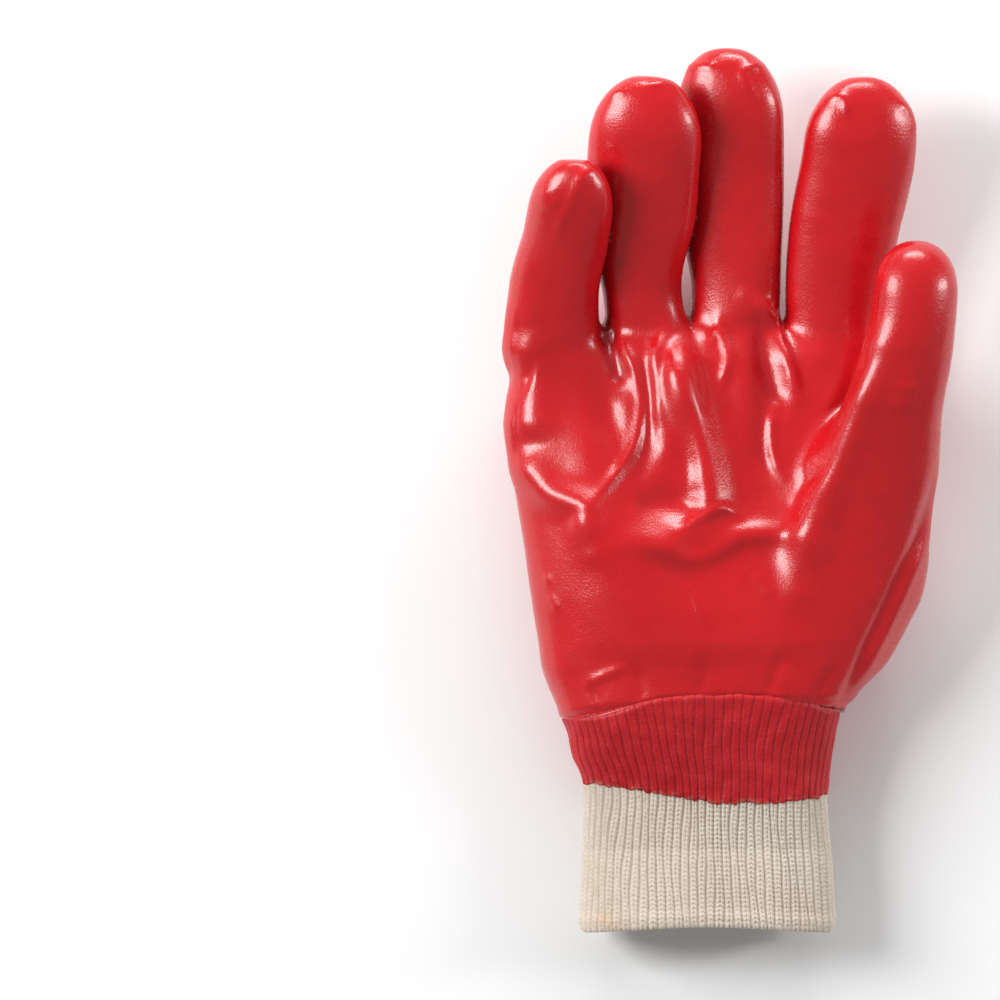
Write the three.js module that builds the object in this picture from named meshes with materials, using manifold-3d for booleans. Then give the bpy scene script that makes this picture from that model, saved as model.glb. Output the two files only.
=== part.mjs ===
// A PVC-coated work glove for the right hand, lying on its back with the palm up.
// Millimetres. +Z is up, +Y runs from the knit cuff to the fingertips, and the thumb is on +X.
// The hand is a hollow wall of coated cotton with five stalls. Its wrist edge is sewn to a tube of
// rib knit, and the dip that coats the hand runs on over the seam and the first third of that tube.
import * as THREE from "three";
import { mergeVertices } from "three/addons/utils/BufferGeometryUtils.js";
import Module from "manifold-3d";

const wasm = await Module();
wasm.setup();

// Hand, from the wrist seam to the webs between the fingers
const palmLength = 110;
const palmWidth = 113;
const palmDepth = 38;
const wristWidth = 92;
const wristDepth = 34;
const wristHeight = 19.5;
const handWall = 1.6;
const seamRise = 3;
const seamTilt = 2.4;
const seamFade = 0.3;
const roundness = 2.3;
const stallRoundness = 2.15;

// Stalls: the length is from the web to the tip, and the curl is how far the tip rises
const littleLength = 54;
const littleWidth = 28;
const littleCurl = 35;
const ringLength = 78;
const ringWidth = 35.5;
const ringCurl = 28;
const middleLength = 87.5;
const middleWidth = 35.5;
const middleCurl = 16;
const indexLength = 78.5;
const indexWidth = 34;
const indexCurl = 17;
const fingerDepth = 19;
const fingerRoll = 20;
const thumbLength = 84;
const thumbWidth = 28;
const thumbDepth = 23;
const thumbCurl = 22;

// Knit cuff, from the wrist seam to the hem, and the dip over it
const cuffLength = 67.5;
const cuffWidth = 77;
const cuffDepth = 30;
const cuffSag = 1;
const knitWall = 1.8;
const knitTuck = 5;
const ribCount = 70;
const ribDepth = 0.8;
const hemRadius = 2.4;
const hemRise = 2.4;
const dipLength = 27;
const dipWave = 4;
const dipWall = 1.0;
const dipRibDepth = 0.45;
const seamThickness = 1.8;
const clearance = 0.3;
const bandTop = seamThickness + 2 * clearance;

// How finely the walls are faceted
const palmSides = 36;
const palmRings = 14;
const stallSides = 16;
const stallStep = 10;
const capAngles = [20, 40, 58, 74];
const seamSides = 56;

// Sections of the palm. along: share of palmLength. left, right: edges as shares of palmWidth.
// low, high: back and palm faces as shares of palmDepth.
const PALM_ROWS = [
  { along: 0.09, left: -0.422, right: 0.452, low: 0.0, high: 0.98 },
  { along: 0.18, left: -0.436, right: 0.475, low: -0.04, high: 1.02 },
  { along: 0.3, left: -0.457, right: 0.49, low: -0.05, high: 1.02 },
  { along: 0.43, left: -0.475, right: 0.49, low: -0.05, high: 0.99 },
  { along: 0.57, left: -0.494, right: 0.491, low: -0.05, high: 0.95 },
  { along: 0.7, left: -0.512, right: 0.491, low: -0.04, high: 0.9 },
  { along: 0.82, left: -0.51, right: 0.486, low: -0.02, high: 0.83 },
  { along: 0.92, left: -0.503, right: 0.478, low: 0.03, high: 0.76 },
  { along: 1.0, left: -0.5, right: 0.468, low: 0.1, high: 0.69 },
  { along: 1.045, left: -0.492, right: 0.46, low: 0.19, high: 0.6 },
];

// Sections of the stalls. along: share of the stall's length, from the web to the tip. drift: the
// centre's step sideways, as a share of the stall's width. lift: share of the curl. width, depth:
// shares of the stall's width and depth.
const LITTLE_ROWS = [
  { along: -0.5, drift: 0.16, lift: -0.05, width: 0.92, depth: 1.05 },
  { along: -0.16, drift: 0.08, lift: 0.0, width: 1.0, depth: 1.05 },
  { along: 0.0, drift: 0.0, lift: 0.04, width: 1.05, depth: 1.02 },
  { along: 0.3, drift: 0.0, lift: 0.24, width: 1.0, depth: 1.0 },
  { along: 0.6, drift: 0.13, lift: 0.54, width: 0.94, depth: 0.97 },
  { along: 1.0, drift: 0.28, lift: 1.0, width: 0.9, depth: 0.92 },
];
const RING_ROWS = [
  { along: -0.35, drift: -0.03, lift: -0.05, width: 0.76, depth: 0.95 },
  { along: 0.0, drift: 0.03, lift: 0.0, width: 0.72, depth: 0.96 },
  { along: 0.18, drift: -0.01, lift: 0.1, width: 0.7, depth: 0.96 },
  { along: 0.3, drift: -0.03, lift: 0.21, width: 0.79, depth: 0.98 },
  { along: 0.46, drift: -0.02, lift: 0.4, width: 0.95, depth: 1.0 },
  { along: 0.65, drift: -0.01, lift: 0.62, width: 1.0, depth: 1.0 },
  { along: 1.0, drift: 0.06, lift: 1.0, width: 0.96, depth: 0.95 },
];
const MIDDLE_ROWS = [
  { along: -0.3, drift: 0.0, lift: -0.03, width: 0.8, depth: 0.95 },
  { along: 0.0, drift: 0.0, lift: 0.0, width: 0.78, depth: 0.98 },
  { along: 0.2, drift: 0.01, lift: 0.06, width: 0.79, depth: 1.0 },
  { along: 0.36, drift: -0.02, lift: 0.18, width: 0.88, depth: 1.0 },
  { along: 0.55, drift: -0.03, lift: 0.4, width: 0.92, depth: 1.0 },
  { along: 0.8, drift: -0.055, lift: 0.73, width: 0.94, depth: 0.97 },
  { along: 1.0, drift: -0.11, lift: 1.0, width: 0.96, depth: 0.95 },
];
const INDEX_ROWS = [
  { along: -0.3, drift: 0.0, lift: -0.03, width: 0.9, depth: 0.95 },
  { along: 0.0, drift: 0.0, lift: 0.0, width: 0.88, depth: 0.98 },
  { along: 0.25, drift: 0.02, lift: 0.14, width: 0.92, depth: 1.0 },
  { along: 0.45, drift: 0.08, lift: 0.34, width: 0.97, depth: 1.0 },
  { along: 0.7, drift: 0.2, lift: 0.64, width: 1.0, depth: 0.98 },
  { along: 1.0, drift: 0.27, lift: 1.0, width: 0.97, depth: 0.95 },
];
const THUMB_ROWS = [
  { along: -0.6, drift: -0.61, lift: -0.36, width: 1.2, depth: 1.1 },
  { along: -0.5, drift: -0.47, lift: -0.32, width: 1.54, depth: 1.2 },
  { along: -0.28, drift: -0.18, lift: -0.2, width: 1.74, depth: 1.34 },
  { along: -0.13, drift: -0.04, lift: -0.06, width: 1.66, depth: 1.3 },
  { along: 0.0, drift: 0.07, lift: 0.1, width: 1.48, depth: 1.22 },
  { along: 0.2, drift: 0.23, lift: 0.36, width: 1.33, depth: 1.12 },
  { along: 0.4, drift: 0.385, lift: 0.62, width: 1.08, depth: 1.0 },
  { along: 0.62, drift: 0.54, lift: 0.85, width: 0.97, depth: 0.96 },
  { along: 0.8, drift: 0.615, lift: 0.96, width: 0.93, depth: 0.94 },
  { along: 1.0, drift: 0.62, lift: 1.0, width: 0.92, depth: 0.92 },
];

// Where each stall starts. side, web: shares of palmWidth and palmLength. height: the root's
// centre as a share of palmDepth.
const STALLS = [
  {
    rows: LITTLE_ROWS,
    length: littleLength,
    width: littleWidth,
    depth: fingerDepth,
    curl: littleCurl,
    roll: fingerRoll,
    side: -0.396,
    web: 0.993,
    height: 0.44,
  },
  {
    rows: RING_ROWS,
    length: ringLength,
    width: ringWidth,
    depth: fingerDepth,
    curl: ringCurl,
    roll: fingerRoll,
    side: -0.158,
    web: 1.006,
    height: 0.42,
  },
  {
    rows: MIDDLE_ROWS,
    length: middleLength,
    width: middleWidth,
    depth: fingerDepth,
    curl: middleCurl,
    roll: fingerRoll,
    side: 0.086,
    web: 1.0,
    height: 0.41,
  },
  {
    rows: INDEX_ROWS,
    length: indexLength,
    width: indexWidth,
    depth: fingerDepth,
    curl: indexCurl,
    roll: -4,
    side: 0.352,
    web: 1.002,
    height: 0.42,
  },
  {
    rows: THUMB_ROWS,
    length: thumbLength,
    width: thumbWidth,
    depth: thumbDepth,
    curl: thumbCurl,
    roll: -14,
    side: 0.406,
    web: 0.504,
    height: 0.66,
  },
];

// Hollows and swellings of the palm face. x, y: centre as shares of palmWidth and palmLength.
// across, along: reach as shares of the same. turn: degrees. height: share of palmDepth.
const RELIEF = [
  { x: 0.04, y: 0.62, across: 0.2, along: 0.28, turn: 0, height: -0.15 },
  { x: -0.28, y: 0.45, across: 0.16, along: 0.3, turn: 8, height: 0.08 },
  { x: -0.25, y: 0.78, across: 0.04, along: 0.16, turn: 12, height: -0.07 },
  { x: -0.07, y: 0.84, across: 0.05, along: 0.2, turn: -8, height: 0.07 },
  { x: 0.12, y: 0.88, across: 0.05, along: 0.14, turn: 10, height: 0.05 },
  { x: 0.02, y: 0.47, across: 0.22, along: 0.05, turn: 6, height: 0.05 },
];

// The cuff's outline below the seam. along: share of cuffLength. width, depth: shares of
// cuffWidth and cuffDepth. drift: share of cuffWidth. The first section is the wrist's own.
const CUFF_ROWS = [
  { along: 0.12, width: 1.075, depth: 1.08, drift: 0.0 },
  { along: 0.2, width: 1.01, depth: 1.02, drift: 0.0 },
  { along: 0.3, width: 0.957, depth: 0.96, drift: 0.01 },
  { along: 0.4, width: 0.942, depth: 0.93, drift: 0.011 },
  { along: 0.54, width: 0.957, depth: 0.93, drift: 0.008 },
  { along: 0.72, width: 0.986, depth: 0.96, drift: 0.01 },
  { along: 1.0, width: 1.0, depth: 1.0, drift: 0.017 },
];

const TAU = 2 * Math.PI;

// A table's column at a place between its rows, on a smooth curve through them.
function column(rows, key, along) {
  const last = rows.length - 1;
  let i = 0;
  while (i < last - 1 && along > rows[i + 1].along) i += 1;
  const [a, b] = [rows[i], rows[i + 1]];
  const span = b.along - a.along;
  const t = THREE.MathUtils.clamp((along - a.along) / span, 0, 1);
  const before = rows[Math.max(i - 1, 0)];
  const after = rows[Math.min(i + 2, last)];
  const slopeA = ((b[key] - before[key]) / (b.along - before.along)) * span;
  const slopeB = ((after[key] - a[key]) / (after.along - a.along)) * span;
  const [t2, t3] = [t * t, t * t * t];
  return (
    (2 * t3 - 3 * t2 + 1) * a[key] +
    (t3 - 2 * t2 + t) * slopeA +
    (3 * t2 - 2 * t3) * b[key] +
    (t3 - t2) * slopeB
  );
}

// Height of the palm's relief over a point of the palm face.
function relief(x, y) {
  let sum = 0;
  for (const r of RELIEF) {
    const turn = THREE.MathUtils.degToRad(r.turn);
    const dx = x - r.x * palmWidth;
    const dy = y - r.y * palmLength;
    const u = (dx * Math.cos(turn) + dy * Math.sin(turn)) / (r.across * palmWidth);
    const v = (dy * Math.cos(turn) - dx * Math.sin(turn)) / (r.along * palmLength);
    sum += r.height * palmDepth * Math.exp(-u * u - v * v);
  }
  return sum;
}

// The wrist seam's step along Y at an angle round the wrist, which arches over the palm.
function seamStep(angle) {
  return seamRise * Math.sin(angle) + seamTilt * Math.cos(angle);
}

// One corner of a section between an ellipse and a box, as shares of its half sizes.
function corner(angle, power) {
  const share = (v) => Math.sign(v) * Math.abs(v) ** (2 / power);
  return [share(Math.cos(angle)), share(Math.sin(angle))];
}

// A closed geometry through rings of points that run along +Y, turning from +X to +Z.
// Each end is a fan, to the ring's middle or to a given point.
function loft(rings, startPoint, endPoint) {
  const sides = rings[0].length;
  const points = rings.flat();
  const middle = (ring) =>
    ring.reduce((sum, p) => sum.add(p), new THREE.Vector3()).divideScalar(ring.length);
  const start = points.push(startPoint ?? middle(rings[0])) - 1;
  const end = points.push(endPoint ?? middle(rings.at(-1))) - 1;
  const faces = [];
  const top = (rings.length - 1) * sides;
  for (let j = 0; j < sides; j += 1) {
    const k = (j + 1) % sides;
    for (let i = 0; i < top; i += sides)
      faces.push(i + j, i + sides + j, i + sides + k, i + j, i + sides + k, i + k);
    faces.push(start, j, k, end, top + k, top + j);
  }
  return new THREE.BufferGeometry().setFromPoints(points).setIndex(faces);
}

// A three.js geometry as a solid that can be cut and joined, and back.
function solidOf(geometry) {
  const bare = new THREE.BufferGeometry()
    .setAttribute("position", geometry.getAttribute("position"))
    .setIndex(geometry.getIndex());
  const merged = mergeVertices(bare, 1e-4);
  return new wasm.Manifold(
    new wasm.Mesh({
      numProp: 3,
      vertProperties: merged.attributes.position.array,
      triVerts: new Uint32Array(merged.index.array),
    }),
  );
}

function geometryOf(solid) {
  const mesh = solid.getMesh();
  const geometry = new THREE.BufferGeometry()
    .setAttribute("position", new THREE.BufferAttribute(mesh.vertProperties, 3))
    .setIndex(new THREE.BufferAttribute(mesh.triVerts, 1));
  geometry.computeVertexNormals();
  return geometry;
}

// The palm, from the seam to just past the webs, taken in by an inset on every side.
function palmSolid(inset) {
  const half = wristWidth / 2 / palmWidth;
  const wristLow = (wristHeight - wristDepth / 2) / palmDepth;
  const wristHigh = (wristHeight + wristDepth / 2) / palmDepth;
  const wrist = { along: 0, left: -half, right: half, low: wristLow, high: wristHigh };
  const rows = [wrist, ...PALM_ROWS];
  const end = rows.at(-1).along;
  const rings = [];
  for (let i = 0; i <= palmRings; i += 1) {
    const along = (end - inset / palmLength) * (i / palmRings);
    const left = column(rows, "left", along) * palmWidth + inset;
    const right = column(rows, "right", along) * palmWidth - inset;
    const low = column(rows, "low", along) * palmDepth + inset;
    const high = column(rows, "high", along) * palmDepth - inset;
    const fade = Math.max(0, 1 - along / seamFade);
    const ring = [];
    for (let j = 0; j < palmSides; j += 1) {
      const angle = (TAU * j) / palmSides;
      const [c, s] = corner(angle, roundness);
      const x = (left + right) / 2 + ((right - left) / 2) * c;
      const y = along * palmLength + seamStep(angle) * fade;
      const face = Math.max(0, s) * (1 - fade);
      const z = (low + high) / 2 + ((high - low) / 2) * s + relief(x, y) * face;
      ring.push(new THREE.Vector3(x, y, Math.max(z, inset)));
    }
    rings.push(ring);
  }
  // The cavity runs out through the wrist edge.
  if (inset > 0) {
    const out = new THREE.Vector3(0, -2 * handWall, 0);
    rings.unshift(rings[0].map((p) => p.clone().add(out)));
  }
  return solidOf(loft(rings));
}

// One stall as a rounded tube that starts inside the palm, taken in by an inset.
function stallSolid(stall, inset) {
  const { rows, length, width, depth, curl, side, web, height } = stall;
  const capPower = 2.2;
  const middle = (along) =>
    new THREE.Vector3(
      side * palmWidth + column(rows, "drift", along) * width,
      web * palmLength + along * length,
      height * palmDepth + column(rows, "lift", along) * curl,
    );
  const capLength = 0.65 * rows.at(-1).width * width;
  const tip = 1 - inset / length;
  const capStart = 1 - capLength / length;
  const capSpan = tip - capStart;
  const stations = [];
  const count = Math.ceil(((capStart - rows[0].along) * length) / stallStep);
  for (let i = 0; i <= count; i += 1)
    stations.push(rows[0].along + ((capStart - rows[0].along) * i) / count);
  for (const angle of capAngles)
    stations.push(capStart + capSpan * Math.sin(THREE.MathUtils.degToRad(angle)));
  const roll = THREE.MathUtils.degToRad(stall.roll);
  const rings = stations.map((along) => {
    const past = Math.max(0, (along - capStart) / capSpan);
    const cap = (1 - past ** capPower) ** (1 / capPower);
    const a = ((column(rows, "width", along) * width) / 2 - inset) * cap;
    const b = ((column(rows, "depth", along) * depth) / 2 - inset) * cap;
    const centre = middle(along);
    const lean = THREE.MathUtils.smoothstep(along, -0.4, 0.15);
    const course = middle(along + 0.01).sub(middle(along - 0.01)).normalize();
    const ahead = new THREE.Vector3(0, 1, 0).lerp(course, lean).normalize();
    const across = new THREE.Vector3(Math.cos(roll), 0, Math.sin(roll));
    across.addScaledVector(ahead, -across.dot(ahead)).normalize();
    const up = across.clone().cross(ahead);
    const ring = [];
    for (let j = 0; j < stallSides; j += 1) {
      const [c, s] = corner((TAU * j) / stallSides, stallRoundness);
      const p = centre.clone().addScaledVector(across, a * c).addScaledVector(up, b * s);
      p.z = Math.max(p.z, inset);
      ring.push(p);
    }
    return ring;
  });
  return solidOf(loft(rings, undefined, middle(tip)));
}

// The hand taken in by an inset: palm, four fingers and thumb joined into one.
function handSolid(inset) {
  return STALLS.reduce((all, s) => all.add(stallSolid(s, inset)), palmSolid(inset));
}

// The angle at which a share of the way round an ellipse-like outline has been passed.
function angleAt(share, a, b) {
  const steps = 96;
  const at = (i) => {
    const [c, s] = corner((TAU * i) / steps, roundness);
    return new THREE.Vector2(a * c, b * s);
  };
  const passed = [0];
  for (let i = 1; i <= steps; i += 1) passed.push(passed[i - 1] + at(i).distanceTo(at(i - 1)));
  const way = (share - Math.floor(share)) * passed[steps];
  let i = 0;
  while (passed[i + 1] < way) i += 1;
  return (TAU * (i + (way - passed[i]) / (passed[i + 1] - passed[i]))) / steps;
}

// A point of the cuff's outline, down below the seam and a share of the way round, taken in by
// an inset. Where the cuff sags onto its resting surface it is flat.
function cuffPoint(down, share, inset) {
  const wrist = {
    along: 0,
    width: wristWidth / cuffWidth,
    depth: wristDepth / cuffDepth,
    drift: 0,
  };
  const rows = [wrist, ...CUFF_ROWS];
  const along = THREE.MathUtils.clamp(down / cuffLength, 0, 1);
  const a = (column(rows, "width", along) * cuffWidth) / 2;
  const b = (column(rows, "depth", along) * cuffDepth) / 2;
  const angle = angleAt(share, a, b);
  const [c, s] = corner(angle, roundness);
  const power = roundness - 1;
  const normal = new THREE.Vector2(
    (Math.sign(c) * Math.abs(c) ** power) / a,
    (Math.sign(s) * Math.abs(s) ** power) / b,
  ).normalize();
  const lying = cuffDepth / 2 - cuffSag;
  const height = THREE.MathUtils.lerp(wristHeight, lying, Math.min(1, along * 1.6));
  const level = (seamFade - along) / (seamFade - bandTop / cuffLength);
  const fade = THREE.MathUtils.clamp(level, 0, 1);
  return new THREE.Vector3(
    column(rows, "drift", along) * cuffWidth + a * c - inset * normal.x,
    -down + seamStep(angle) * fade,
    Math.max(inset, height + b * s - inset * normal.y),
  );
}

// How far below the seam the dip ends, a share of the way round: deeper on the back, and wavy.
function dipEnd(share) {
  const angle = TAU * share;
  const back = 0.5 - 0.5 * Math.sin(angle);
  const wave = 0.5 * Math.cos(angle - 0.6) + 0.35 * Math.cos(3 * angle + 0.8);
  return dipLength + dipWave * (back + wave);
}

// A ring round the cuff. downAt, insetAt: functions of the share of the way round.
function cuffRing(corners, downAt, insetAt) {
  const ring = [];
  for (let j = 0; j < corners; j += 1) {
    const share = j / corners;
    ring.push(cuffPoint(downAt(share), share, insetAt(share, j)));
  }
  return ring;
}

// A tube closed at both rims. Its outside rings have two corners a rib, its inside rings one.
function ribbedTube(outside, inside) {
  const points = [...outside.flat(), ...inside.flat()];
  const [many, few] = [outside[0].length, inside[0].length];
  const base = many * outside.length;
  const faces = [];
  const walls = (first, rows, sides, outward) => {
    for (let i = 0; i < rows - 1; i += 1)
      for (let j = 0; j < sides; j += 1) {
        const k = (j + 1) % sides;
        const [a, b] = [first + i * sides, first + (i + 1) * sides];
        if (outward) faces.push(a + j, b + j, b + k, a + j, b + k, a + k);
        else faces.push(a + j, b + k, b + j, a + j, a + k, b + k);
      }
  };
  walls(0, outside.length, many, true);
  walls(base, inside.length, few, false);
  const topOut = many * (outside.length - 1);
  const topIn = base + few * (inside.length - 1);
  for (let j = 0; j < few; j += 1) {
    const k = (j + 1) % few;
    const [p, q, r] = [2 * j, 2 * j + 1, (2 * j + 2) % many];
    faces.push(base + j, p, q, base + j, q, base + k, base + k, q, r);
    faces.push(topIn + j, topOut + q, topOut + p);
    faces.push(topIn + j, topIn + k, topOut + q, topIn + k, topOut + r, topOut + q);
  }
  return new THREE.BufferGeometry().setFromPoints(points).setIndex(faces);
}

// Rings that the dip and the knit under it share: downs from the dip's lower edge to its top.
const dipRings = [1, 0.55, 0].map(
  (part) => (share) => THREE.MathUtils.lerp(bandTop, dipEnd(share), part),
);

// How far the knit lies in at a distance below the seam: under the hand, under the dip, then out.
function knitInset(down) {
  const underHand = handWall + clearance;
  const underDip = dipWall + clearance;
  const clearOfDip = dipLength + 1.9 * dipWave;
  const under = THREE.MathUtils.lerp(underHand, underDip, THREE.MathUtils.clamp(down / 9, 0, 1));
  return under * (1 - THREE.MathUtils.smoothstep(down, clearOfDip, clearOfDip + 9));
}

// The knit tube, from the hem to its end inside the hand.
function knitCuff() {
  const mouth = cuffLength - hemRadius;
  const openRings = [cuffLength, mouth, dipLength + 1.9 * dipWave + 9];
  const hemAt = (down) => (share) =>
    down - hemRise * THREE.MathUtils.smoothstep(down, cuffLength - 14, mouth) * Math.sin(TAU * share) ** 2;
  const downs = [...openRings.map(hemAt), ...dipRings, () => 0];
  const outside = downs.map((downAt, i) => {
    const round = i === 0 ? hemRadius / 3 : 0;
    const insetAt = (share, j) => knitInset(downAt(share)) + round + (j % 2) * ribDepth;
    return cuffRing(2 * ribCount, downAt, insetAt);
  });
  const inside = downs.map((downAt) =>
    cuffRing(ribCount, downAt, (share) => knitInset(downAt(share)) + knitWall),
  );
  const tuck = (ring) => ring.map((p) => p.clone().setY(p.y + knitTuck));
  return ribbedTube([...outside, tuck(outside.at(-1))], [...inside, tuck(inside.at(-1))]);
}

// The dip's skin over the knit tube: its grooves are half filled, and its lower edge is wavy.
function dippedBand() {
  const outside = dipRings.map((downAt) =>
    cuffRing(2 * ribCount, downAt, (share, j) => (j % 2) * dipRibDepth),
  );
  const inside = dipRings.map((downAt) => cuffRing(ribCount, downAt, () => dipWall));
  return ribbedTube(outside, inside);
}

// The welt of the seam that joins hand and cuff, a bead that runs round the wrist.
function wristSeam() {
  const sides = 5;
  const bead = seamThickness / 2;
  const points = [];
  const faces = [];
  for (let j = 0; j < seamSides; j += 1)
    for (let k = 0; k < sides; k += 1) {
      const turn = (TAU * k) / sides;
      const p = cuffPoint(0, j / seamSides, bead * (1 - Math.cos(turn)) - clearance);
      p.y += bead * Math.sin(turn) - bead - clearance;
      points.push(p);
      const [j2, k2] = [(j + 1) % seamSides, (k + 1) % sides];
      const [a, b] = [j * sides + k, j2 * sides + k];
      const [c, d] = [j2 * sides + k2, j * sides + k2];
      faces.push(a, c, b, a, d, c);
    }
  return new THREE.BufferGeometry().setFromPoints(points).setIndex(faces);
}

function piece(name, geometry, material) {
  const mesh = new THREE.Mesh(geometry, material);
  mesh.name = name;
  return mesh;
}

const coated = { color: 0xc8202a, roughness: 0.25, metalness: 0 };
const coatedRib = { color: 0xb01e26, roughness: 0.55, metalness: 0 };
const knit = { color: 0xd2c4b2, roughness: 0.95, metalness: 0 };

const shell = handSolid(0).subtract(handSolid(handWall));
const glove = new THREE.Group();
glove.add(
  piece("coated_hand", geometryOf(shell), new THREE.MeshStandardMaterial(coated)),
  piece("wrist_seam", wristSeam(), new THREE.MeshStandardMaterial(coatedRib)),
  piece("dipped_band", dippedBand(), new THREE.MeshStandardMaterial(coatedRib)),
  piece("knit_cuff", knitCuff(), new THREE.MeshStandardMaterial(knit)),
);

// The origin is on the resting surface, under the middle of the glove's outline.
const box = new THREE.Box3().setFromObject(glove);
const centre = box.getCenter(new THREE.Vector3());
glove.position.set(-centre.x, -centre.y, -box.min.z);

export default glove;
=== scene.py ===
"""A PVC-coated work glove that lies on its back with the palm up.

Shapes are worked out in millimetres in the wrist's frame: the origin is the middle of the wrist
seam on the resting surface, +X is the thumb's side, +Y runs to the fingertips, +Z is up.
"""
import math

import bmesh
import bpy
import numpy as np
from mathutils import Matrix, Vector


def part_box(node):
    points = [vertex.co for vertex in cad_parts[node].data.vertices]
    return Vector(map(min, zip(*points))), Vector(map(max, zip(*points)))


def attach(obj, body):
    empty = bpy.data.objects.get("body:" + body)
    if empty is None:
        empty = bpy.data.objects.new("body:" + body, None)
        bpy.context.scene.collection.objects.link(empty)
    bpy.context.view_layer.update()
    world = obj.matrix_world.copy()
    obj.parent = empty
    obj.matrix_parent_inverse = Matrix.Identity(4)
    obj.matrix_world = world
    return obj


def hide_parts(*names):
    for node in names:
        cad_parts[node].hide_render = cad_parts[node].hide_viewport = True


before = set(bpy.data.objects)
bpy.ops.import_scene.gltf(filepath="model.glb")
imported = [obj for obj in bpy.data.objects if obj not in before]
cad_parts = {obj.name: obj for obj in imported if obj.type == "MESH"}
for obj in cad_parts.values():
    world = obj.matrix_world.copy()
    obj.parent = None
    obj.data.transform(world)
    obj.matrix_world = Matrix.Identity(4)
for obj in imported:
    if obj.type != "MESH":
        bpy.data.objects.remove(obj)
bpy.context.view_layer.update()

MM = 0.001

# Hand, the same named sizes as the solids
PALM_LENGTH = 110.0
PALM_WIDTH = 113.0
PALM_DEPTH = 38.0
WRIST_WIDTH = 92.0
WRIST_DEPTH = 34.0
WRIST_HEIGHT = 19.5
HAND_WALL = 1.6
SEAM_RISE = 3.0
SEAM_TILT = 2.4
SEAM_FADE = 0.3
ROUNDNESS = 2.3
STALL_ROUNDNESS = 2.15
CAP_POWER = 2.2
FINGER_DEPTH = 19.0

# Cuff and dip
CUFF_LENGTH = 67.5
CUFF_WIDTH = 77.0
CUFF_DEPTH = 30.0
CUFF_SAG = 1.0
KNIT_WALL = 1.8
KNIT_TUCK = 5.0
RIB_COUNT = 70
HEM_RISE = 2.4
DIP_WALL = 1.0
BAND_TOP = 2.4

# Steps of the meshes, and of the stalls' middle lines, with how far those lines run on
GRID = 1.0
LINING_GRID = 3.0
TUBE_SIDES = RIB_COUNT * 8
KNIT_ROWS = 136
BAND_ROWS = 44
STALL_STEPS = 700
STALL_END = 1.35

# The block of space that holds the hand: lowest and highest x, y and z
SPACE = ((-62.0, 80.0), (-13.0, 201.0), (-2.0, 62.0))

# Round ends of the palm and of a stall's root, and the soft edge of what lies on the surface
PALM_CAP_START = 102.0
PALM_CAP = 13.0
ROOT_CAP = 6.0
FLAT_EDGE = 1.4

# The hidden end of the hand under the seam, its lining, and the step of its edge over the band
SLEEVE = 4.6
SLEEVE_TUCK = 1.3
SLEEVE_CUT = 1.8
LINING_GAP = 0.3
SEAM_STEP = 1.2
SEAM_BACK = -3.0

# Relief: folds, dents and skin, how far off a crevice's other side counts, the welt's painted
# shade, and how far the wrist is drawn in at the left and at the right
FOLD_GAIN = 1.3
FOLD_WIDEN = 1.15
DENT_HEIGHT = 0.16
DENT_SIZES = (22, 44)
SKIN_HEIGHT = 0.03
SKIN_SIZES = (6, 12)
CREVICE_REACHES = (1.5, 3.5, 7.0)
WELT_PAINTED_SHADE = 0.35
TAPER_LEFT = 3.4
TAPER_RIGHT = 2.4

# The knit: a course of loops, depth of the ribs, roll of the hem, how deep it lies under the hand
# and the band, and the waves and the stain of its cloth
COURSE = 1.35
RIB_RELIEF = 0.6
HEM_LIP = 1.3
KNIT_UNDER = 1.9
UNDER_BAND = DIP_WALL + 0.35
WAVE_HEIGHT = 0.45
WAVE_SIZES = (16, 34)
STAIN_PLACE = (-28.8, -63.6, 26.0)
STAIN_SIZES = (3.2, 2.2, 8.0)

ORIGIN = (-8.42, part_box("knit_cuff")[0].y / MM + CUFF_LENGTH, 0.0)

# Sections of the palm: along, left, right, low, high
PALM_ROWS = np.array([
    (0.0, -WRIST_WIDTH / 2 / PALM_WIDTH, WRIST_WIDTH / 2 / PALM_WIDTH,
     (WRIST_HEIGHT - WRIST_DEPTH / 2) / PALM_DEPTH, (WRIST_HEIGHT + WRIST_DEPTH / 2) / PALM_DEPTH),
    (0.09, -0.422, 0.452, 0.0, 0.98),
    (0.18, -0.436, 0.475, -0.04, 1.02),
    (0.3, -0.457, 0.49, -0.05, 1.02),
    (0.43, -0.475, 0.49, -0.05, 0.99),
    (0.57, -0.494, 0.491, -0.05, 0.95),
    (0.7, -0.512, 0.491, -0.04, 0.9),
    (0.82, -0.51, 0.486, -0.02, 0.83),
    (0.92, -0.503, 0.478, 0.03, 0.76),
    (1.0, -0.5, 0.468, 0.1, 0.69),
    (1.045, -0.492, 0.46, 0.19, 0.6),
])

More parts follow.
